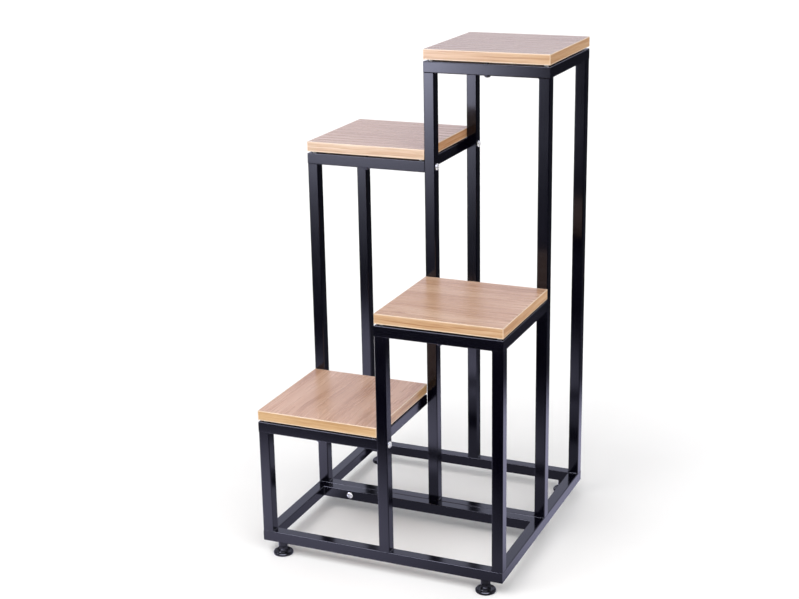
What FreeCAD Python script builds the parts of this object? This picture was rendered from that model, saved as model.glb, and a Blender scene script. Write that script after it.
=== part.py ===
import FreeCAD, Part
import math
import os

# Four-level plant stand: welded square-tube frames in two knock-down halves
# bolted together, four laminated boards on clear bumpers, four levelling feet.
# Millimetres. X runs left to right, Y front to back, Z up.
# The origin is the centre of the footprint, on the floor.

V = FreeCAD.Vector

# ---------------------------------------------------------------- dimensions
MODULE = 230.0          # side of one square level, outside to outside
TUBE = 20.0             # square tube, outside
WALL = 1.0              # tube wall
TUBE_R = 1.6            # outer corner radius of the tube section
FOOT_H = 24.0           # floor to the underside of the base rails, feet screwed in

RING_TOP = {            # top of each shelf ring above the underside of the base
    "lower": 232.0,
    "middle": 439.0,
    "upper": 671.0,
    "top": 848.0,
}

BUMPER_D = 8.0          # clear bumper between ring and board
BUMPER_H = 3.0
BUMPER_IN = 10.0        # bumper centre from both ring sides, the middle of the tube

BOARD_T = 18.0          # board thickness
EDGE_T = 1.0            # edge band thickness
EDGE_R = 0.5            # rounding along the edge band

SCREW_D = 5.0           # board screw
SCREW_L = 35.0
SCREW_HEAD_D = 11.0
SCREW_HEAD_H = 4.3
SCREW_HOLE_D = 5.6      # hole through both walls of the ring rail
PILOT_D = 5.1           # pilot hole in the board

BOLT_D = 6.0            # frame bolt
BOLT_L = 30.0
BOLT_HEAD_D = 12.5
BOLT_HEAD_H = 3.2
BOLT_SOCKET_AF = 4.0
BOLT_SOCKET_DEPTH = 2.0
BOLT_HOLE_D = 6.6
NUT_AF = 10.0           # weld nut on the inside of the tube wall
NUT_H = 5.0
NUT_BORE_D = 6.1

BASE_BOLT_X = 155.0     # bolts that join the two base frames, left and right

FOOT_X = 196.0          # foot centres, left and right of the middle
FOOT_Y = 220.0          # foot centres, on the middle of the front and back rail
PAD_D = 36.0
STUD_D = 7.9            # over the crests of the thread
STUD_ROOT_D = 6.7
PITCH = 1.25
STUD_TOP = 42.4
FOOT_HOLE_D = 9.0       # hole in the underside of the rail
FOOT_NUT_AF = 13.0
FOOT_NUT_H = 6.5
FOOT_NUT_BORE_D = 8.1
NECK_D = 17.0
NECK_BORE_D = 8.0
NECK_GAP = 0.3          # neck top to the rail's underside

BASE_Z0 = FOOT_H
BASE_Z1 = FOOT_H + TUBE

os.makedirs("parts", exist_ok=True)

# ------------------------------------------------------------------- helpers


def prism(points, z0, z1):
    """Upright prism over a plan polygon."""
    wire = Part.makePolygon([V(x, y, z0) for x, y in points] + [V(points[0][0], points[0][1], z0)])
    return Part.Face(wire).extrude(V(0, 0, z1 - z0))


def rounded_bar(x0, y0, z0, x1, y1, z1, axis, r):
    """Box with its four edges along one axis rounded."""
    box = Part.makeBox(x1 - x0, y1 - y0, z1 - z0, V(x0, y0, z0))
    k = "xyz".index(axis)
    edges = []
    for e in box.Edges:
        a, b = e.Vertexes[0].Point, e.Vertexes[1].Point
        d = (b[0] - a[0], b[1] - a[1], b[2] - a[2])
        if abs(d[k]) > 1e-6:
            edges.append(e)
    return box.makeFillet(r, edges)


def tube(x0, y0, z0, x1, y1, z1, axis):
    """Hollow square tube, open at both ends."""
    w = WALL
    outer = rounded_bar(x0, y0, z0, x1, y1, z1, axis, TUBE_R)
    e = 1.0
    if axis == "x":
        inner = rounded_bar(x0 - e, y0 + w, z0 + w, x1 + e, y1 - w, z1 - w, axis, TUBE_R - w)
    elif axis == "y":
        inner = rounded_bar(x0 + w, y0 - e, z0 + w, x1 - w, y1 + e, z1 - w, axis, TUBE_R - w)
    else:
        inner = rounded_bar(x0 + w, y0 + w, z0 - e, x1 - w, y1 - w, z1 + e, axis, TUBE_R - w)
    return outer.cut(inner)


def mitred_frame(x0, y0, x1, y1, z0, z1):
    """Four mitred tubes that make one rectangle."""
    t = TUBE
    parts = {}
    parts["front_rail"] = tube(x0, y0, z0, x1, y0 + t, z1, "x").common(
        prism([(x0, y0), (x1, y0), (x1 - t, y0 + t), (x0 + t, y0 + t)], z0, z1))
    parts["back_rail"] = tube(x0, y1 - t, z0, x1, y1, z1, "x").common(
        prism([(x0 + t, y1 - t), (x1 - t, y1 - t), (x1, y1), (x0, y1)], z0, z1))
    parts["left_rail"] = tube(x0, y0, z0, x0 + t, y1, z1, "y").common(
        prism([(x0, y0), (x0 + t, y0 + t), (x0 + t, y1 - t), (x0, y1)], z0, z1))
    parts["right_rail"] = tube(x1 - t, y0, z0, x1, y1, z1, "y").common(
        prism([(x1, y0), (x1, y1), (x1 - t, y1 - t), (x1 - t, y0 + t)], z0, z1))
    return parts


def cyl(d, length, pos, direction):
    return Part.makeCylinder(d / 2.0, length, pos, direction)


def hexagon(af, z0, z1):
    r = af / math.sqrt(3.0)
    pts = [(r * math.cos(math.radians(a)), r * math.sin(math.radians(a))) for a in range(0, 360, 60)]
    return prism(pts, z0, z1)


def revolve(points):
    """Solid of revolution about Z from (radius, height) points."""
    wire = Part.makePolygon([V(r, 0, z) for r, z in points] + [V(points[0][0], 0, points[0][1])])
    solid = Part.Face(wire).revolve(V(0, 0, 0), V(0, 0, 1), 360)
    if solid.ShapeType != "Solid":
        solid = Part.makeSolid(Part.Shell(solid.Faces))
    if solid.Volume < 0:
        solid.reverse()
    return solid


def aim(shape, pos, direction):
    """Turn a shape made along +Z so that it points along direction, at pos."""
    s = shape.copy()
    rot = FreeCAD.Rotation(V(0, 0, 1), direction)
    s.Placement = FreeCAD.Placement(pos, rot)
    return s


def clean(shape):
    """The shape as one plain solid where it holds one."""
    solids = shape.Solids
    if len(solids) == 1:
        return solids[0]
    return Part.makeCompound(solids)


nodes = {}

# ---------------------------------------------------------------- base frames
H = MODULE
for name, y0, y1 in (("base_front_frame", -H, 0.0), ("base_rear_frame", 0.0, H)):
    for side, shape in mitred_frame(-H, y0, H, y1, BASE_Z0, BASE_Z1).items():
        nodes[name + "_" + side] = shape

# ---------------------------------------------------------------- shelf rings
PLAN = {                # left, front, right and back side of each level
    "lower": (-H, -H, 0.0, 0.0),
    "middle": (0.0, -H, H, 0.0),
    "upper": (-H, 0.0, 0.0, H),
    "top": (0.0, 0.0, H, H),
}
ring_z = {}
for level, (x0, y0, x1, y1) in PLAN.items():
    z1 = FOOT_H + RING_TOP[level]
    z0 = z1 - TUBE
    ring_z[level] = (z0, z1)
    for side, shape in mitred_frame(x0, y0, x1, y1, z0, z1).items():
        nodes[level + "_ring_" + side] = shape

# ----------------------------------------------------------------------- legs
T = TUBE
LEGS = {
    "lower_leg_front_left": ("lower", -H, -H),
    "middle_leg_front_left": ("middle", 0.0, -H),
    "middle_leg_front_right": ("middle", H - T, -H),
    "upper_leg_front_left": ("upper", -H, 0.0),
    "upper_leg_back_left": ("upper", -H, H - T),
    "top_leg_front_left": ("top", 0.0, 0.0),
    "top_leg_front_right": ("top", H - T, 0.0),
    "top_leg_back_left": ("top", 0.0, H - T),
    "top_leg_back_right": ("top", H - T, H - T),
}
for name, (level, x, y) in LEGS.items():
    nodes[name] = tube(x, y, BASE_Z1, x + T, y + T, ring_z[level][0], "z")


def drill(name, d, pos, direction, length):
    nodes[name] = nodes[name].cut(cyl(d, length, pos, direction))


# ---------------------------------------------------------------- frame bolts
# Each bolt: the tube it passes through, the tube that holds the weld nut,
# the point on the face under the head, and the direction of the shank.
half = T / 2.0


def mid(level):
    return (ring_z[level][0] + ring_z[level][1]) / 2.0


BOLTS = [
    ("base_front_frame_back_rail", "base_rear_frame_front_rail",
     V(-BASE_BOLT_X, -T, BASE_Z0 + half), V(0, 1, 0)),
    ("base_front_frame_back_rail", "base_rear_frame_front_rail",
     V(BASE_BOLT_X, -T, BASE_Z0 + half), V(0, 1, 0)),
    ("middle_leg_front_left", "lower_ring_right_rail", V(T, -H + half, mid("lower")), V(-1, 0, 0)),
    ("upper_leg_front_left", "lower_ring_back_rail", V(-H + half, T, mid("lower")), V(0, -1, 0)),
    ("top_leg_front_left", "middle_ring_back_rail", V(half, T, mid("middle")), V(0, -1, 0)),
    ("top_leg_front_right", "middle_ring_back_rail", V(H - half, T, mid("middle")), V(0, -1, 0)),
    ("top_leg_front_left", "upper_ring_right_rail", V(T, half, mid("upper")), V(-1, 0, 0)),
    ("top_leg_back_left", "upper_ring_right_rail", V(T, H - half, mid("upper")), V(-1, 0, 0)),
]

# low truss head with a hexagon socket, made head up; the shank runs down
head = revolve([(0, 0), (BOLT_HEAD_D / 2 - 0.2, 0), (BOLT_HEAD_D / 2, 0.2), (BOLT_HEAD_D / 2, 0.7), (6.05, 1.2),
                (5.6, 1.75), (5.0, 2.25), (4.2, 2.7), (3.3, 3.0), (2.6, BOLT_HEAD_H), (0, BOLT_HEAD_H)])
socket = hexagon(BOLT_SOCKET_AF, BOLT_HEAD_H - BOLT_SOCKET_DEPTH, BOLT_HEAD_H + 0.1)
shank = revolve([(0, 0.5), (BOLT_D / 2, 0.5), (BOLT_D / 2, -BOLT_L + 0.8), (BOLT_D / 2 - 0.8, -BOLT_L), (0, -BOLT_L)])
bolt = head.fuse(shank).removeSplitter().cut(socket)
weld_nut = hexagon(NUT_AF, 0.0, NUT_H).cut(cyl(NUT_BORE_D, NUT_H + 2, V(0, 0, -1), V(0, 0, 1)))

bolts, weld_nuts = [], []
for through, into, p, d in BOLTS:
    start = p - d * 1.0
    drill(through, BOLT_HOLE_D, start, d, T + 2.0)
    drill(into, BOLT_HOLE_D, p + d * (T - 0.5), d, WALL + 1.0)
    bolts.append(aim(bolt, p, d * -1.0))
    weld_nuts.append(aim(weld_nut, p + d * (T + WALL), d))
nodes["frame_bolts"] = Part.makeCompound(bolts)
nodes["frame_weld_nuts"] = Part.makeCompound(weld_nuts)

# ----------------------------------------------------- boards, bands, bumpers
# pan head board screw with a cross recess, made point up
screw_profile = [(0, -SCREW_HEAD_H), (2.3, -SCREW_HEAD_H), (3.9, -SCREW_HEAD_H + 0.5), (4.9, -SCREW_HEAD_H + 1.3),
                 (5.4, -SCREW_HEAD_H + 2.3), (SCREW_HEAD_D / 2, -SCREW_HEAD_H + 3.1), (SCREW_HEAD_D / 2, 0.0), (SCREW_D / 2, 0.0),
                 (SCREW_D / 2, SCREW_L - 5.0), (0.3, SCREW_L), (0, SCREW_L)]
screw = revolve(screw_profile)
for a in (0, 90):
    slot = Part.makeBox(5.4, 1.1, 2.0, V(-2.7, -0.55, -SCREW_HEAD_H - 0.1))
    slot.rotate(V(0, 0, 0), V(0, 0, 1), a + 45)
    screw = screw.cut(slot)

bumper = revolve([(0, 0), (BUMPER_D / 2, 0), (BUMPER_D / 2, BUMPER_H - 1.0), (BUMPER_D / 2 - 0.35, BUMPER_H - 0.35),
                  (BUMPER_D / 2 - 1.0, BUMPER_H), (0, BUMPER_H)])

screws, bumpers = [], []
for level, (x0, y0, x1, y1) in PLAN.items():
    rz0, rz1 = ring_z[level]
    bz0 = rz1 + BUMPER_H
    bz1 = bz0 + BOARD_T
    e = EDGE_T
    board = Part.makeBox(x1 - x0 - 2 * e, y1 - y0 - 2 * e, BOARD_T, V(x0 + e, y0 + e, bz0))
    xm = (x0 + x1) / 2.0
    for y, rail in ((y0 + half, "front_rail"), (y1 - half, "back_rail")):
        drill(level + "_ring_" + rail, SCREW_HOLE_D, V(xm, y, rz0 - 1), V(0, 0, 1), TUBE + 2)
        depth = SCREW_L - TUBE - BUMPER_H
        board = board.cut(cyl(PILOT_D, depth + 0.5 + 1.0, V(xm, y, bz0 - 1.0), V(0, 0, 1)))
        s = screw.copy()
        s.translate(V(xm, y, rz0))
        screws.append(s)
    nodes[level + "_shelf_board"] = board

    # four strips of edge band, their outer edges slightly rounded
    strips = []
    for sx0, sy0, sx1, sy1, kx, ky in (
            (x0, y0, x1, y0 + e, 0, -1), (x0, y1 - e, x1, y1, 0, 1),
            (x0, y0 + e, x0 + e, y1 - e, -1, 0), (x1 - e, y0 + e, x1, y1 - e, 1, 0)):
        strip = Part.makeBox(sx1 - sx0, sy1 - sy0, BOARD_T, V(sx0, sy0, bz0))
        picked = []
        for edge in strip.Edges:
            a, b = edge.Vertexes[0].Point, edge.Vertexes[1].Point
            if ky:
                yo = sy0 if ky < 0 else sy1
                if abs(a.y - yo) < 1e-6 and abs(b.y - yo) < 1e-6:
                    picked.append(edge)
            else:
                xo = sx0 if kx < 0 else sx1
                if abs(a.x - xo) < 1e-6 and abs(b.x - xo) < 1e-6 and abs(a.z - b.z) < 1e-6:
                    picked.append(edge)
        strips.append(strip.makeFillet(EDGE_R, picked))
    nodes[level + "_shelf_edging"] = Part.makeCompound(strips)

    for bx in (x0 + BUMPER_IN, x1 - BUMPER_IN):
        for by in (y0 + BUMPER_IN, y1 - BUMPER_IN):
            b = bumper.copy()
            b.translate(V(bx, by, rz1))
            bumpers.append(b)
nodes["shelf_bumpers"] = Part.makeCompound(bumpers)
nodes["shelf_screws"] = Part.makeCompound(screws)

# ----------------------------------------------------------------------- feet
# Pad: a dished disc with a rolled rim and a hub that holds the stud's bead.
R = PAD_D / 2.0
pad_profile = [(0, 0), (R - 1.2, 0), (R - 0.4, 0.35), (R, 1.1), (R, 3.1), (R - 0.25, 3.9), (R - 0.8, 4.65), (R - 1.6, 5.25),
               (R - 2.6, 5.6), (R - 3.4, 5.65), (R - 4.2, 5.4), (R - 5.0, 4.8), (R - 5.9, 4.2), (R - 7.0, 4.0), (R - 8.0, 4.2),
               (R - 8.8, 4.9), (R - 9.3, 5.9), (R - 9.6, 7.2), (R - 9.8, 9.0), (R - 10.3, 9.6),
               (4.1, 9.6), (4.1, 7.9), (5.6, 7.9), (5.6, 2.4), (0, 2.4)]
pad = revolve(pad_profile)

# Stud: a bead held in the pad's hub, a plain shank and a thread above it.
neck_top = FOOT_H - NECK_GAP
rn = NECK_D / 2.0
crest, root = STUD_D / 2.0, STUD_ROOT_D / 2.0
stud_profile = [(0, 2.8), (5.1, 2.8), (5.5, 3.2), (5.5, 7.1), (5.1, 7.5), (4.0, 7.5), (4.0, 9.9),
                (crest, 9.9), (crest, neck_top - 1.0), (root, neck_top - 0.4)]
z = neck_top + 0.2
while z + PITCH < STUD_TOP - 0.6:
    stud_profile += [(root, z), (crest, z + PITCH * 0.42), (crest, z + PITCH * 0.58)]
    z += PITCH
stud_profile += [(root, z), (root, STUD_TOP - 0.5), (root - 0.5, STUD_TOP), (0, STUD_TOP)]
stud = revolve(stud_profile)

# Neck: a sleeve moulded round the shank, six-sided at its foot for a spanner.
neck = revolve([(0, 9.9), (rn - 0.7, 9.9), (rn - 0.7, 15.2), (rn - 0.2, 15.8), (rn, 16.6), (rn, neck_top - 0.6),
                (rn - 0.6, neck_top), (0, neck_top)])
grip = hexagon(16.2, 9.9, 14.6).common(revolve([(0, 9.9), (8.3, 9.9), (9.3, 10.6), (9.3, 13.9), (8.3, 14.6), (0, 14.6)]))
neck = neck.fuse(grip).cut(cyl(NECK_BORE_D, 20.0, V(0, 0, 8.0), V(0, 0, 1))).removeSplitter()

foot_nut = hexagon(FOOT_NUT_AF, 0.0, FOOT_NUT_H).cut(
    cyl(FOOT_NUT_BORE_D, FOOT_NUT_H + 2, V(0, 0, -1), V(0, 0, 1)))
foot_nuts = []
for name, sx, sy, rail in (
        ("front_left", -1, -1, "base_front_frame_front_rail"),
        ("front_right", 1, -1, "base_front_frame_front_rail"),
        ("back_left", -1, 1, "base_rear_frame_back_rail"),
        ("back_right", 1, 1, "base_rear_frame_back_rail")):
    p = V(sx * FOOT_X, sy * FOOT_Y, 0)
    a = pad.copy()
    a.translate(p)
    nodes["foot_" + name + "_pad"] = a
    b = stud.copy()
    b.translate(p)
    nodes["foot_" + name + "_stud"] = b
    c = neck.copy()
    c.translate(p)
    nodes["foot_" + name + "_neck"] = c
    drill(rail, FOOT_HOLE_D, p + V(0, 0, BASE_Z0 - 1), V(0, 0, 1), WALL + 2)
    n = foot_nut.copy()
    n.translate(p + V(0, 0, BASE_Z0 + WALL))
    foot_nuts.append(n)
nodes["foot_weld_nuts"] = Part.makeCompound(foot_nuts)

# --------------------------------------------------------------------- export
lo = [1e9] * 3
hi = [-1e9] * 3
for name, shape in nodes.items():
    shape = clean(shape)
    if not shape.isValid():
        print("INVALID", name)
    for s in shape.Solids:
        if s.Volume <= 0:
            print("BAD VOLUME", name, s.Volume)
    b = shape.BoundBox
    lo = [min(lo[0], b.XMin), min(lo[1], b.YMin), min(lo[2], b.ZMin)]
    hi = [max(hi[0], b.XMax), max(hi[1], b.YMax), max(hi[2], b.ZMax)]
    shape.exportStep("parts/" + name + ".step")
print("nodes", len(nodes))
print("box", [round(v, 3) for v in lo], [round(v, 3) for v in hi])
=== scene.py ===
import math
import random

import bmesh
import bpy
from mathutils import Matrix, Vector


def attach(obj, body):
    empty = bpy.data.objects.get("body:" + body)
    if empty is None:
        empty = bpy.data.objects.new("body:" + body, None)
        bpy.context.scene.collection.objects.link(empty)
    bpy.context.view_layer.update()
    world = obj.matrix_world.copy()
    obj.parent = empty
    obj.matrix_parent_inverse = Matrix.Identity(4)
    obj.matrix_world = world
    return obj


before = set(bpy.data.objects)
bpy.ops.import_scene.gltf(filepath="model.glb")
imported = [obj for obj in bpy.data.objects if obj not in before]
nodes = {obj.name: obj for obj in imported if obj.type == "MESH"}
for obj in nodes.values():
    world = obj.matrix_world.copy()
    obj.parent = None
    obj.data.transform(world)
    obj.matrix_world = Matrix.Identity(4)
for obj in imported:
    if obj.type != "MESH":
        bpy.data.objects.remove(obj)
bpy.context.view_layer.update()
scene = bpy.context.scene
random.seed(4)

# Plant stand: powder coated square tube, four laminated boards on clear bumpers.
# Metres. X runs left to right, Y front to back, Z up, the floor is z = 0.

T = 0.020                       # square tube
BASE_TOP = 0.044                # top of the base rails
LEVELS = {                      # left, front, right, back, top of the ring
    "lower": (-0.230, -0.230, 0.000, 0.000, 0.256),
    "middle": (0.000, -0.230, 0.230, 0.000, 0.463),
    "upper": (-0.230, 0.000, 0.000, 0.230, 0.695),
    "top": (0.000, 0.000, 0.230, 0.230, 0.872),
}

# ---------------------------------------------------------------- the camera
yaw, pitch, roll = math.radians(23.585), math.radians(17.603), math.radians(-1.049)
fwd = Vector((-math.sin(yaw) * math.cos(pitch), math.cos(yaw) * math.cos(pitch), -math.sin(pitch)))
right = fwd.cross(Vector((0, 0, 1))).normalized()
up = right.cross(fwd)
r2 = right * math.cos(roll) + up * math.sin(roll)
u2 = up * math.cos(roll) - right * math.sin(roll)
cam_data = bpy.data.cameras.new("view_camera")
cam_data.sensor_fit = "HORIZONTAL"
cam_data.sensor_width = 36.0
cam_data.lens = 67.895
cam_data.clip_start, cam_data.clip_end = 0.05, 200.0
camera = bpy.data.objects.new("view_camera", cam_data)
scene.collection.objects.link(camera)
m = camera.matrix_world.copy()
for row in range(3):
    m[row][0], m[row][1], m[row][2] = r2[row], u2[row], -fwd[row]
m[0][3], m[1][3], m[2][3] = 0.998407, -2.406638, 1.267450
camera.matrix_world = m
scene.camera = camera

# ------------------------------------------------------------- node helpers


def material(name):
    mat = bpy.data.materials.new(name)
    mat.use_nodes = True
    tree = mat.node_tree
    tree.nodes.clear()
    out = tree.nodes.new("ShaderNodeOutputMaterial")
    bsdf = tree.nodes.new("ShaderNodeBsdfPrincipled")
    tree.links.new(bsdf.outputs["BSDF"], out.inputs["Surface"])
    return mat, tree, bsdf


def put(tree, value, socket):
    """A number or colour is set on the socket, and a socket is linked to it."""
    if isinstance(value, bpy.types.NodeSocket):
        tree.links.new(value, socket)
    else:
        socket.default_value = value


def maths(tree, op, a, b=0.0, c=0.0, clamp=False):
    n = tree.nodes.new("ShaderNodeMath")
    n.operation = op
    n.use_clamp = clamp
    put(tree, a, n.inputs[0])
    put(tree, b, n.inputs[1])
    put(tree, c, n.inputs[2])
    return n.outputs[0]


def vadd(tree, a, b):
    n = tree.nodes.new("ShaderNodeVectorMath")
    n.operation = "ADD"
    put(tree, a, n.inputs[0])
    put(tree, b, n.inputs[1])
    return n.outputs[0]


def place(tree):
    return tree.nodes.new("ShaderNodeTexCoord").outputs["Object"]


def split(tree, v):
    n = tree.nodes.new("ShaderNodeSeparateXYZ")
    tree.links.new(v, n.inputs[0])
    return n.outputs


def join(tree, x, y, z):
    n = tree.nodes.new("ShaderNodeCombineXYZ")
    put(tree, x, n.inputs[0])
    put(tree, y, n.inputs[1])
    put(tree, z, n.inputs[2])
    return n.outputs[0]


def noise(tree, v, scale=1.0, detail=3.0, rough=0.5, distortion=0.0):
    n = tree.nodes.new("ShaderNodeTexNoise")
    tree.links.new(v, n.inputs["Vector"])
    n.inputs["Scale"].default_value = scale
    n.inputs["Detail"].default_value = detail
    n.inputs["Roughness"].default_value = rough
    n.inputs["Distortion"].default_value = distortion
    return n.outputs["Fac"]


def remap(tree, v, a, b, c, d, smooth=False):
    n = tree.nodes.new("ShaderNodeMapRange")
    n.interpolation_type = "SMOOTHSTEP" if smooth else "LINEAR"
    n.clamp = True
    put(tree, v, n.inputs["Value"])
    n.inputs["From Min"].default_value = a
    n.inputs["From Max"].default_value = b
    n.inputs["To Min"].default_value = c
    n.inputs["To Max"].default_value = d
    return n.outputs["Result"]


def ramp(tree, fac, stops):
    n = tree.nodes.new("ShaderNodeValToRGB")
    el = n.color_ramp.elements
    while len(el) < len(stops):
        el.new(0.5)
    for e, (pos, col) in zip(el, stops):
        e.position = pos
        e.color = (*col, 1.0)
    tree.links.new(fac, n.inputs["Fac"])
    return n.outputs["Color"]


def mix(tree, fac, a, b, kind="MIX"):
    n = tree.nodes.new("ShaderNodeMix")
    n.data_type = "RGBA"
    n.blend_type = kind
    n.clamp_factor = True
    put(tree, fac, n.inputs["Factor"])
    ca = [s for s in n.inputs if s.name == "A" and s.type == "RGBA"][0]
    cb = [s for s in n.inputs if s.name == "B" and s.type == "RGBA"][0]
    put(tree, a if isinstance(a, bpy.types.NodeSocket) else (*a, 1.0), ca)
    put(tree, b if isinstance(b, bpy.types.NodeSocket) else (*b, 1.0), cb)
    return [s for s in n.outputs if s.type == "RGBA"][0]


def bump(tree, height, strength, distance, onto=None):
    n = tree.nodes.new("ShaderNodeBump")
    n.inputs["Strength"].default_value = strength
    n.inputs["Distance"].default_value = distance
    tree.links.new(height, n.inputs["Height"])
    if onto is not None:
        tree.links.new(onto, n.inputs["Normal"])
    return n.outputs["Normal"]


# ---------------------------------------------------------------- materials


def powder_coat():
    """Blue-black semi-gloss powder coat with a fine orange peel."""
    mat, t, b = material("powder_coat")
    p = place(t)
    cloud = noise(t, p, 9.0, 3.0, 0.55)
    grit = noise(t, p, 900.0, 2.0, 0.6)
    tone = maths(t, "ADD", maths(t, "MULTIPLY", cloud, 0.6), maths(t, "MULTIPLY", grit, 0.4))
    colour = ramp(t, tone, [(0.30, (0.0007, 0.0005, 0.0022)), (0.55, (0.0011, 0.0009, 0.0034)), (0.80, (0.0024, 0.0022, 0.0056))])
    t.links.new(colour, b.inputs["Base Color"])
    rough = maths(t, "ADD", remap(t, cloud, 0.3, 0.7, 0.0, 0.03), remap(t, grit, 0.3, 0.7, 0.105, 0.135))
    t.links.new(rough, b.inputs["Roughness"])
    b.inputs["IOR"].default_value = 1.5
    peel = noise(t, p, 420.0, 2.0, 0.5)
    n1 = bump(t, peel, 0.12, 0.00006)
    n2 = bump(t, grit, 0.10, 0.00003, n1)
    t.links.new(n2, b.inputs["Normal"])
    return mat


def laminate(name, along, offset, contrast=1.0, painted_light_tint=(1.0, 1.0, 1.0)):
    """Wood-print laminate, its grain along one plan axis."""
    mat, t, b = material(name)
    p = vadd(t, place(t), offset)
    x, y, z = split(t, p)
    u, v = (x, y) if along == "x" else (y, x)
    # the grain wanders a little across its run
    sway = noise(t, join(t, maths(t, "MULTIPLY", u, 5.0), maths(t, "MULTIPLY", v, 9.0), z), 1.0, 2.0, 0.5)
    v = maths(t, "ADD", v, maths(t, "MULTIPLY", maths(t, "SUBTRACT", sway, 0.5), 0.030))

    def grain(su, sv, detail, rough, distortion=0.0):
        return noise(t, join(t, maths(t, "MULTIPLY", u, su), maths(t, "MULTIPLY", v, sv), maths(t, "MULTIPLY", z, 3.0)),
                     1.0, detail, rough, distortion)

    broad = grain(2.6, 24.0, 2.0, 0.5, 0.5)
    streak = grain(5.0, 95.0, 3.0, 0.5, 0.2)
    fibre = grain(20.0, 700.0, 3.0, 0.6)
    pore = grain(60.0, 2200.0, 2.0, 0.5)
    tone = maths(t, "ADD", maths(t, "MULTIPLY", broad, 0.50),
                 maths(t, "ADD", maths(t, "MULTIPLY", streak, 0.36), maths(t, "MULTIPLY", fibre, 0.14)))
    tone = maths(t, "ADD", maths(t, "MULTIPLY", maths(t, "SUBTRACT", tone, 0.5), contrast), 0.5)
    shades = [(0.33, (0.400, 0.215, 0.140)), (0.43, (0.510, 0.305, 0.205)), (0.50, (0.575, 0.360, 0.252)),
              (0.58, (0.615, 0.400, 0.290)), (0.68, (0.655, 0.445, 0.335))]
    # The tint shifts the whole colour ramp per shelf, painting that shelf's sheen and shade into the grain colour.
    colour = ramp(t, tone, [(pos, tuple(c * f for c, f in zip(col, painted_light_tint))) for pos, col in shades])
    # a few narrow darker figure lines
    line = grain(2.2, 75.0, 2.0, 0.4, 0.8)
    line = maths(t, "ABSOLUTE", maths(t, "SUBTRACT", line, 0.5))
    line = remap(t, line, 0.004, 0.022, 1.0, 0.0, True)
    where = remap(t, grain(4.0, 16.0, 1.0, 0.5), 0.50, 0.62, 0.0, 0.55, True)
    line = maths(t, "MULTIPLY", line, maths(t, "MULTIPLY", where, contrast))
    colour = mix(t, line, colour, (0.330, 0.170, 0.110))
    pits = remap(t, pore, 0.30, 0.42, 1.0, 0.0, True)
    colour = mix(t, maths(t, "MULTIPLY", pits, 0.20), colour, (0.36, 0.21, 0.14))
    t.links.new(colour, b.inputs["Base Color"])
    t.links.new(maths(t, "ADD", remap(t, streak, 0.3, 0.7, 0.24, 0.30), maths(t, "MULTIPLY", pits, 0.10)), b.inputs["Roughness"])
    b.inputs["IOR"].default_value = 1.5
    height = maths(t, "SUBTRACT", maths(t, "MULTIPLY", fibre, 0.5), pits)
    t.links.new(bump(t, height, 0.25, 0.00006), b.inputs["Normal"])
    return mat


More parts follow.
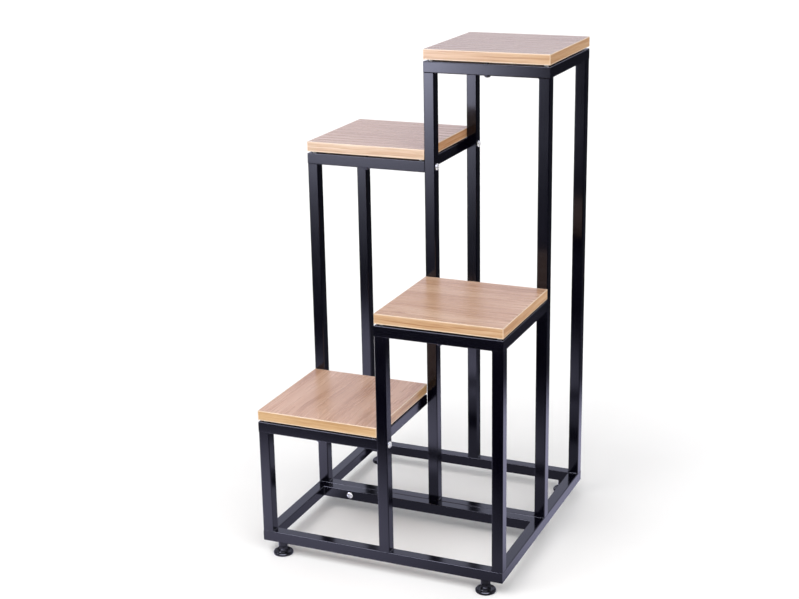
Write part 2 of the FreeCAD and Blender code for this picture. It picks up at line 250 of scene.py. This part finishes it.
def edge_band(name, x_mid, y_mid, z_low, z_high, offset, painted_light_tint=(1.0, 1.0, 1.0), painted_side_shading=(1.0, 1.0, 1.0)):
    """Golden wood-print edge band, its grain level all round the board."""
    mat, t, b = material(name)
    p = place(t)
    x, y, z = split(t, p)
    nx, ny, nz = split(t, t.nodes.new("ShaderNodeNewGeometry").outputs["Normal"])
    side = maths(t, "GREATER_THAN", maths(t, "ABSOLUTE", nx), maths(t, "ABSOLUTE", ny))
    run = maths(t, "ADD", maths(t, "MULTIPLY", y, side), maths(t, "MULTIPLY", x, maths(t, "SUBTRACT", 1.0, side)))
    run = maths(t, "ADD", run, maths(t, "MULTIPLY", side, 3.7))
    run = maths(t, "ADD", run, offset)
    sway = noise(t, join(t, maths(t, "MULTIPLY", run, 14.0), maths(t, "MULTIPLY", z, 40.0), 0.0), 1.0, 2.0, 0.5)
    zz = maths(t, "ADD", z, maths(t, "MULTIPLY", maths(t, "SUBTRACT", sway, 0.5), 0.006))

    def grain(su, sv, detail, rough, distortion=0.0):
        return noise(t, join(t, maths(t, "MULTIPLY", run, su), maths(t, "MULTIPLY", zz, sv), 0.0), 1.0, detail, rough, distortion)

    broad = grain(5.0, 170.0, 3.0, 0.5, 0.3)
    streak = grain(9.0, 620.0, 4.0, 0.6)
    fibre = grain(40.0, 2600.0, 2.0, 0.5)
    tone = maths(t, "ADD", maths(t, "MULTIPLY", broad, 0.42),
                 maths(t, "ADD", maths(t, "MULTIPLY", streak, 0.38), maths(t, "MULTIPLY", fibre, 0.20)))
    shades = [(0.34, (0.330, 0.160, 0.062)), (0.43, (0.455, 0.250, 0.112)), (0.50, (0.550, 0.335, 0.168)),
              (0.57, (0.615, 0.398, 0.216)), (0.67, (0.690, 0.480, 0.290))]
    # The front and back faces and the left and right faces get separate copies of the colour, each shifted per shelf:
    # painted sheen and shade on the fronts and backs, painted shading on the left and right faces.
    along_x, along_y = [ramp(t, tone, [(pos, tuple(c * f for c, f in zip(col, w))) for pos, col in shades]) for w in (painted_light_tint, painted_side_shading)]
    colour = mix(t, side, along_x, along_y)
    # painted highlight: the band is paler along its top and bottom edges and at the board's vertical corners, where its
    # rounded edges would catch the light
    mid, half = (z_low + z_high) / 2.0, (z_high - z_low) / 2.0
    off = maths(t, "ABSOLUTE", maths(t, "SUBTRACT", z, mid))
    painted_edge_highlight = remap(t, off, half - 0.0024, half - 0.0008, 0.0, 0.85, True)
    reach = [remap(t, maths(t, "ABSOLUTE", maths(t, "SUBTRACT", s, m)), 0.1132, 0.1144, 0.0, 1.0, True) for s, m in ((x, x_mid), (y, y_mid))]
    painted_edge_highlight = maths(t, "MAXIMUM", painted_edge_highlight, maths(t, "MULTIPLY", maths(t, "MULTIPLY", reach[0], reach[1]), 0.6))
    colour = mix(t, painted_edge_highlight, colour, (0.760, 0.600, 0.450))
    t.links.new(colour, b.inputs["Base Color"])
    t.links.new(remap(t, streak, 0.3, 0.7, 0.15, 0.21), b.inputs["Roughness"])
    b.inputs["IOR"].default_value = 1.48
    t.links.new(bump(t, maths(t, "ADD", streak, maths(t, "MULTIPLY", fibre, 0.6)), 0.20, 0.00005), b.inputs["Normal"])
    return mat


def zinc():
    """Bright zinc plated steel."""
    mat, t, b = material("zinc_steel")
    p = place(t)
    patch = noise(t, p, 260.0, 3.0, 0.6)
    fine = noise(t, p, 1800.0, 2.0, 0.5)
    t.links.new(ramp(t, patch, [(0.34, (0.50, 0.50, 0.52)), (0.48, (0.90, 0.90, 0.90)), (0.75, (0.97, 0.97, 0.96))]), b.inputs["Base Color"])
    t.links.new(remap(t, noise(t, p, 330.0, 1.0, 0.5), 0.42, 0.52, 0.90, 0.12, True), b.inputs["Metallic"])
    t.links.new(remap(t, patch, 0.3, 0.7, 0.20, 0.34), b.inputs["Roughness"])
    t.links.new(bump(t, fine, 0.15, 0.00004), b.inputs["Normal"])
    return mat


def black_steel():
    """Glossy black coating on a steel screw."""
    mat, t, b = material("black_screw")
    p = place(t)
    patch = noise(t, p, 300.0, 3.0, 0.6)
    fine = noise(t, p, 1800.0, 2.0, 0.5)
    t.links.new(ramp(t, patch, [(0.3, (0.10, 0.10, 0.11)), (0.7, (0.17, 0.17, 0.18))]), b.inputs["Base Color"])
    t.links.new(remap(t, patch, 0.3, 0.7, 0.10, 0.18), b.inputs["Roughness"])
    b.inputs["Metallic"].default_value = 1.0
    t.links.new(bump(t, fine, 0.12, 0.00003), b.inputs["Normal"])
    return mat


def clear_rubber():
    """Clear soft polyurethane bumper, faintly milky."""
    mat, t, b = material("clear_bumper")
    p = place(t)
    haze = noise(t, p, 500.0, 2.0, 0.5)
    t.links.new(ramp(t, haze, [(0.3, (0.94, 0.95, 0.95)), (0.7, (0.99, 0.99, 0.99))]), b.inputs["Base Color"])
    b.inputs["IOR"].default_value = 1.49
    b.inputs["Transmission Weight"].default_value = 0.12
    t.links.new(remap(t, haze, 0.3, 0.7, 0.05, 0.12), b.inputs["Roughness"])
    return mat


def plastic():
    """Glossy black moulded plastic."""
    mat, t, b = material("foot_plastic")
    p = place(t)
    cloud = noise(t, p, 60.0, 3.0, 0.5)
    grain = noise(t, p, 1500.0, 2.0, 0.5)
    t.links.new(ramp(t, cloud, [(0.3, (0.0026, 0.0026, 0.0034)), (0.7, (0.0060, 0.0060, 0.0070))]), b.inputs["Base Color"])
    t.links.new(maths(t, "ADD", remap(t, cloud, 0.3, 0.7, 0.05, 0.09), maths(t, "MULTIPLY", grain, 0.04)), b.inputs["Roughness"])
    b.inputs["IOR"].default_value = 1.46
    b.inputs["Specular IOR Level"].default_value = 0.38
    t.links.new(bump(t, grain, 0.10, 0.00003), b.inputs["Normal"])
    return mat


COAT, ZINC, BLACK, CLEAR, PLASTIC = powder_coat(), zinc(), black_steel(), clear_rubber(), plastic()
# The last tuple of each board is a painted-light tint: the bluish sheen of the upper and top boards and the dimmer
# light on the middle board are painted into its colour.
BOARDS = {
    "lower": laminate("board_lower", "y", (1.30, 0.40, 0.0), 0.95, (0.99, 0.99, 0.98)),
    "middle": laminate("board_middle", "x", (0.55, 2.10, 0.0), 1.10, (0.93, 0.93, 0.87)),
    "upper": laminate("board_upper", "x", (3.20, 0.85, 0.0), 0.32, (0.92, 1.04, 1.13)),
    "top": laminate("board_top", "x", (5.70, 1.65, 0.0), 0.30, (0.76, 0.90, 0.99)),
}
BANDS = {}
# Per-shelf colour shifts of the bands: painted sheen and shade on the front and back faces (first table), painted
# shading of the left and right faces (second table).
BAND_PAINTED_LIGHT = {"lower": (0.98, 1.02, 1.03), "middle": (0.92, 0.93, 1.02), "upper": (1.06, 1.23, 1.60), "top": (0.97, 1.02, 1.15)}
BAND_PAINTED_SIDE_SHADING = {"lower": (0.91, 0.88, 0.87), "middle": (1.09, 1.08, 1.21), "upper": (0.98, 0.85, 0.83), "top": (0.97, 0.96, 1.05)}
for k, (level, (x0, y0, x1, y1, z1)) in enumerate(LEVELS.items()):
    BANDS[level] = edge_band("band_" + level, (x0 + x1) / 2, (y0 + y1) / 2, z1 + 0.003, z1 + 0.021, 0.9 + 1.7 * k, BAND_PAINTED_LIGHT[level], BAND_PAINTED_SIDE_SHADING[level])


def dress(obj, mat):
    obj.data.materials.clear()
    obj.data.materials.append(mat)


for name, obj in nodes.items():
    if name.endswith("_shelf_board"):
        dress(obj, BOARDS[name.split("_")[0]])
    elif name.endswith("_shelf_edging"):
        dress(obj, BANDS[name.split("_")[0]])
    elif name == "shelf_bumpers":
        dress(obj, CLEAR)
    elif name == "shelf_screws":
        dress(obj, BLACK)
    elif name in ("frame_bolts", "frame_weld_nuts", "foot_weld_nuts") or name.endswith("_stud"):
        dress(obj, ZINC)
    elif name.endswith("_pad") or name.endswith("_neck"):
        dress(obj, PLASTIC)
    else:
        dress(obj, COAT)

# -------------------------------------------------------------- weld seams


def bead(bm, a, b, n1, n2, leg=0.0024, seed=0):
    """A rippled fillet weld along a..b in the corner between two faces with outward normals n1 and n2."""
    rnd = random.Random(seed)
    a, b, n1, n2 = Vector(a), Vector(b), Vector(n1), Vector(n2)
    length = (b - a).length
    steps = max(12, int(length / 0.00045))
    sink = 0.0003
    rings = []
    phase = rnd.random() * 6.28
    drift = [rnd.uniform(-1, 1) for _ in range(6)]
    for i in range(steps + 1):
        f = i / steps
        s = f * length
        ripple = 0.07 * abs(math.sin(math.pi * s / 0.0016 + phase)) - 0.035
        slow = sum(d * math.sin((k + 1) * 2.1 * f * math.pi + k) for k, d in enumerate(drift)) * 0.02
        taper = min(1.0, math.sqrt(max(0.0, min(s, length - s)) / 0.0022) * 0.85 + 0.15)
        size = leg * (1.0 + ripple + slow) * taper
        c = a + (b - a) * f
        o = c - n1 * sink - n2 * sink
        ring = [bm.verts.new(o)]
        for k in range(7):
            g = k / 6.0
            # from a point up face one to a point along face two, bulging a little
            q = n2 * (size * (1 - g)) + n1 * (size * g)
            bulge = (n1 + n2).normalized() * (size * 0.16 * math.sin(math.pi * g) + ripple * leg * 0.8 * math.sin(math.pi * g))
            edge = 0.0 if 0 < k < 6 else sink
            off = -n1 * edge if k == 0 else (-n2 * edge if k == 6 else Vector((0, 0, 0)))
            ring.append(bm.verts.new(c + q + bulge + off))
        rings.append(ring)
    n = len(rings[0])
    for r0, r1 in zip(rings, rings[1:]):
        for k in range(n):
            bm.faces.new((r0[k], r0[(k + 1) % n], r1[(k + 1) % n], r1[k]))
    bm.faces.new(list(reversed(rings[0])))
    bm.faces.new(rings[-1])


def weld_piece(name, seams):
    bm = bmesh.new()
    for k, (a, b, n1, n2) in enumerate(seams):
        bead(bm, a, b, n1, n2, seed=sum(map(ord, name)) + k)
    bmesh.ops.recalc_face_normals(bm, faces=bm.faces)
    mesh = bpy.data.meshes.new(name)
    bm.to_mesh(mesh)
    bm.free()
    for poly in mesh.polygons:
        poly.use_smooth = True
    obj = bpy.data.objects.new(name, mesh)
    scene.collection.objects.link(obj)
    dress(obj, COAT)
    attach(obj, "stand")
    return obj


DIRS = {"+x": Vector((1, 0, 0)), "-x": Vector((-1, 0, 0)), "+y": Vector((0, 1, 0)), "-y": Vector((0, -1, 0))}
UP, DOWN = Vector((0, 0, 1)), Vector((0, 0, -1))
LEGS = {                        # left, front, foot seams, ring level, head seams
    "lower_leg_front_left": (-0.230, -0.230, "+x +y", "lower", "+x +y"),
    "middle_leg_front_left": (0.000, -0.230, "+x -x", "middle", "+x +y"),
    "middle_leg_front_right": (0.210, -0.230, "-x +y", "middle", "-x +y"),
    "upper_leg_front_left": (-0.230, 0.000, "+x +y", "upper", "+x +y"),
    "upper_leg_back_left": (-0.230, 0.210, "+x -y", "upper", "+x -y"),
    "top_leg_front_left": (0.000, 0.000, "+x -x", "top", "+x +y"),
    "top_leg_front_right": (0.210, 0.000, "-x +y", "top", "-x +y"),
    "top_leg_back_left": (0.000, 0.210, "+x -x", "top", "+x -y"),
    "top_leg_back_right": (0.210, 0.210, "-x -y", "top", "-x -y"),
}
R = 0.0022


def leg_seams(x, y, sides, z, n2):
    cx, cy = x + T / 2, y + T / 2
    out = []
    for s in sides.split():
        d = DIRS[s]
        t = Vector((-d.y, d.x, 0))
        c = Vector((cx, cy, z)) + d * (T / 2)
        out.append((c - t * (T / 2 - R), c + t * (T / 2 - R), d, n2))
    return out


for name, (x, y, foot, level, head) in LEGS.items():
    z_ring = LEVELS[level][4] - T
    weld_piece(name.replace("_leg_", "_weld_"), leg_seams(x, y, foot, BASE_TOP, UP) + leg_seams(x, y, head, z_ring, DOWN))


def corner_seams(x0, y0, x1, y1, z0, z1):
    out = []
    for sx, sy, cx, cy in ((1, 1, x0 + T, y0 + T), (-1, 1, x1 - T, y0 + T), (1, -1, x0 + T, y1 - T), (-1, -1, x1 - T, y1 - T)):
        out.append(((cx, cy, z0 + R), (cx, cy, z1 - R), (sx, 0, 0), (0, sy, 0)))
    return out


for level, (x0, y0, x1, y1, z1) in LEVELS.items():
    weld_piece(level + "_ring_welds", corner_seams(x0, y0, x1, y1, z1 - T, z1))
weld_piece("base_front_frame_welds", corner_seams(-0.230, -0.230, 0.230, 0.000, BASE_TOP - T, BASE_TOP))
weld_piece("base_rear_frame_welds", corner_seams(-0.230, 0.000, 0.230, 0.230, BASE_TOP - T, BASE_TOP))

# ------------------------------------------------------------------ the stage


def plane(name, half, z):
    mesh = bpy.data.meshes.new(name)
    mesh.from_pydata([(-half, -half, z), (half, -half, z), (half, half, z), (-half, half, z)], [], [(0, 1, 2, 3)])
    obj = bpy.data.objects.new(name, mesh)
    scene.collection.objects.link(obj)
    return obj


def only_gloss(obj):
    """Seen in reflections alone, as a studio card just out of the picture is."""
    obj.visible_camera = False
    obj.visible_diffuse = False
    obj.visible_glossy = True
    obj.visible_transmission = False
    obj.visible_volume_scatter = False
    obj.visible_shadow = False


floor = plane("floor", 60.0, -0.0003)
fm, ft, fb = material("floor_white")
ft.links.new(ramp(ft, noise(ft, place(ft), 3.0, 2.0, 0.5), [(0.3, (0.905, 0.905, 0.91)), (0.7, (0.92, 0.92, 0.925))]), fb.inputs["Base Color"])
fb.inputs["Roughness"].default_value = 0.9
fb.inputs["Specular IOR Level"].default_value = 0.0
dress(floor, fm)
floor.visible_glossy = False


def emission(name):
    mat = bpy.data.materials.new(name)
    mat.use_nodes = True
    tree = mat.node_tree
    tree.nodes.clear()
    out = tree.nodes.new("ShaderNodeOutputMaterial")
    em = tree.nodes.new("ShaderNodeEmission")
    tree.links.new(em.outputs[0], out.inputs["Surface"])
    return mat, tree, em


# the lit patch of floor, as the coat sees it
patch = plane("floor_glow", 1.3, -0.0006)
pm, pt, pe = emission("floor_glow")
px, py, pz = split(pt, place(pt))


def oval(cx, cy, a, b):
    qx = maths(pt, "MULTIPLY", maths(pt, "SUBTRACT", px, cx), 1.0 / a)
    qy = maths(pt, "MULTIPLY", maths(pt, "SUBTRACT", py, cy), 1.0 / b)
    return maths(pt, "SQRT", maths(pt, "ADD", maths(pt, "MULTIPLY", qx, qx), maths(pt, "MULTIPLY", qy, qy)))


left_glow = remap(pt, oval(-0.55, -0.20, 0.90, 0.66), 0.42, 1.05, 2.20, 0.0, True)
right_glow = remap(pt, oval(0.42, 0.20, 0.30, 0.55), 0.55, 1.25, 1.30, 0.0, True)
glow = maths(pt, "MAXIMUM", left_glow, right_glow)
inside = maths(pt, "MAXIMUM", maths(pt, "ABSOLUTE", px), maths(pt, "ABSOLUTE", py))
glow = maths(pt, "ADD", glow, remap(pt, oval(0.27, -0.34, 0.14, 0.16), 0.2, 1.2, 0.45, 0.0, True))
glow = maths(pt, "ADD", glow, remap(pt, py, -0.30, 0.0, 0.0, 0.09, True))
# The glow is dimmed next to the stand and held low under it: a painted shadow of the stand in this reflected floor.
glow = maths(pt, "MULTIPLY", glow, remap(pt, inside, 0.27, 0.37, 0.78, 1.0, True))
stand_shadow_mask = remap(pt, inside, 0.19, 0.25, 0.0, 1.0, True)
glow = maths(pt, "ADD", maths(pt, "MULTIPLY", glow, stand_shadow_mask), maths(pt, "MULTIPLY", maths(pt, "SUBTRACT", 1.0, stand_shadow_mask), 0.50))
pt.links.new(glow, pe.inputs["Strength"])
pe.inputs["Color"].default_value = (0.72, 0.71, 1.0, 1.0)
dress(patch, pm)
only_gloss(patch)

# the studio round it: a pale wall behind, a tall soft light at the front left
bm = bmesh.new()
bmesh.ops.create_icosphere(bm, subdivisions=4, radius=40.0)
dome_mesh = bpy.data.meshes.new("studio_dome")
bm.to_mesh(dome_mesh)
bm.free()
dome = bpy.data.objects.new("studio_dome", dome_mesh)
scene.collection.objects.link(dome)
dm, dt, de = emission("studio_dome")
unit = dt.nodes.new("ShaderNodeVectorMath")
unit.operation = "NORMALIZE"
dt.links.new(place(dt), unit.inputs[0])
dx, dy, dz = split(dt, unit.outputs[0])
deg = 180.0 / math.pi
elev = maths(dt, "MULTIPLY", maths(dt, "ARCSINE", dz), deg)
azim = maths(dt, "MULTIPLY", maths(dt, "ARCTAN2", maths(dt, "MULTIPLY", dx, -1.0), maths(dt, "MULTIPLY", dy, -1.0)), deg)
wall = remap(dt, elev, 0.0, 26.0, 0.62, 1.02, True)
wall = maths(dt, "MULTIPLY", wall, remap(dt, elev, -3.0, 3.0, 0.0, 1.0, True))
back = remap(dt, dy, -0.15, 0.35, 0.15, 1.0, True)
wall = maths(dt, "MULTIPLY", wall, back)
box_a = remap(dt, azim, 17.6, 23.2, 0.0, 1.0, True)
box_b = remap(dt, azim, 62.0, 78.0, 1.0, 0.0, True)
slant = maths(dt, "MULTIPLY", maths(dt, "MAXIMUM", maths(dt, "SUBTRACT", azim, 22.0), 0.0), 0.12)
box_c = maths(dt, "POWER", remap(dt, maths(dt, "SUBTRACT", elev, slant), -15.5, -7.5, 0.0, 1.0), 2.0)
box_d = remap(dt, elev, -5.0, 2.0, 1.0, 0.0, True)
box = maths(dt, "MULTIPLY", maths(dt, "MULTIPLY", box_a, box_b), maths(dt, "MULTIPLY", box_c, box_d))
lid = remap(dt, elev, 50.0, 68.0, 0.0, 2.6, True)
strip = maths(dt, "MULTIPLY", remap(dt, azim, -64.0, -50.0, 0.0, 1.0, True), remap(dt, azim, 74.0, 88.0, 1.0, 0.0, True))
strip = maths(dt, "MULTIPLY", strip, maths(dt, "MULTIPLY", remap(dt, elev, 36.0, 42.0, 0.0, 1.0, True), remap(dt, elev, 50.0, 56.0, 1.0, 0.0, True)))
total = maths(dt, "ADD", maths(dt, "ADD", wall, maths(dt, "ADD", lid, 0.045)), maths(dt, "MULTIPLY", box, 12.0))
total = maths(dt, "ADD", total, maths(dt, "MULTIPLY", strip, 20.0))
dt.links.new(total, de.inputs["Strength"])
de.inputs["Color"].default_value = (0.75, 0.765, 1.0, 1.0)
dress(dome, dm)
only_gloss(dome)

# the white backdrop, a closed shell round the floor
bm = bmesh.new()
bmesh.ops.create_icosphere(bm, subdivisions=5, radius=30.0)
drop_mesh = bpy.data.meshes.new("backdrop")
bm.to_mesh(drop_mesh)
bm.free()
drop = bpy.data.objects.new("backdrop", drop_mesh)
scene.collection.objects.link(drop)
km, kt, ke = emission("backdrop")
kt.links.new(ramp(kt, noise(kt, place(kt), 0.05, 1.0, 0.5), [(0.3, (1.0, 1.0, 1.0)), (0.7, (0.985, 0.988, 0.99))]), ke.inputs["Color"])
ke.inputs["Strength"].default_value = 1.02
dress(drop, km)
drop.visible_camera = True
drop.visible_diffuse = False
drop.visible_glossy = False
drop.visible_transmission = False
drop.visible_volume_scatter = False
drop.visible_shadow = False

world = bpy.data.worlds.new("studio_air")
scene.world = world
world.use_nodes = True
bg = world.node_tree.nodes["Background"]
bg.inputs["Color"].default_value = (0.985, 0.99, 1.0, 1.0)
bg.inputs["Strength"].default_value = 0.64
world.cycles_visibility.glossy = False


def soft_sun(name, energy, angle, colour, way):
    data = bpy.data.lights.new(name, "SUN")
    data.energy = energy
    data.angle = math.radians(angle)
    data.color = colour
    obj = bpy.data.objects.new(name, data)
    obj.rotation_euler = Vector(way).to_track_quat("-Z", "Y").to_euler()
    scene.collection.objects.link(obj)
    obj.visible_glossy = False


soft_sun("key_light", 1.45, 38.0, (1.0, 0.985, 0.965), (0.20, 0.50, -0.84))
soft_sun("fill_light", 1.60, 60.0, (1.0, 0.985, 0.965), (-0.68, 0.58, -0.45))

scene.view_settings.view_transform = "Standard"
scene.view_settings.look = "None"
scene.view_settings.exposure = 0.0
scene.view_settings.gamma = 1.0
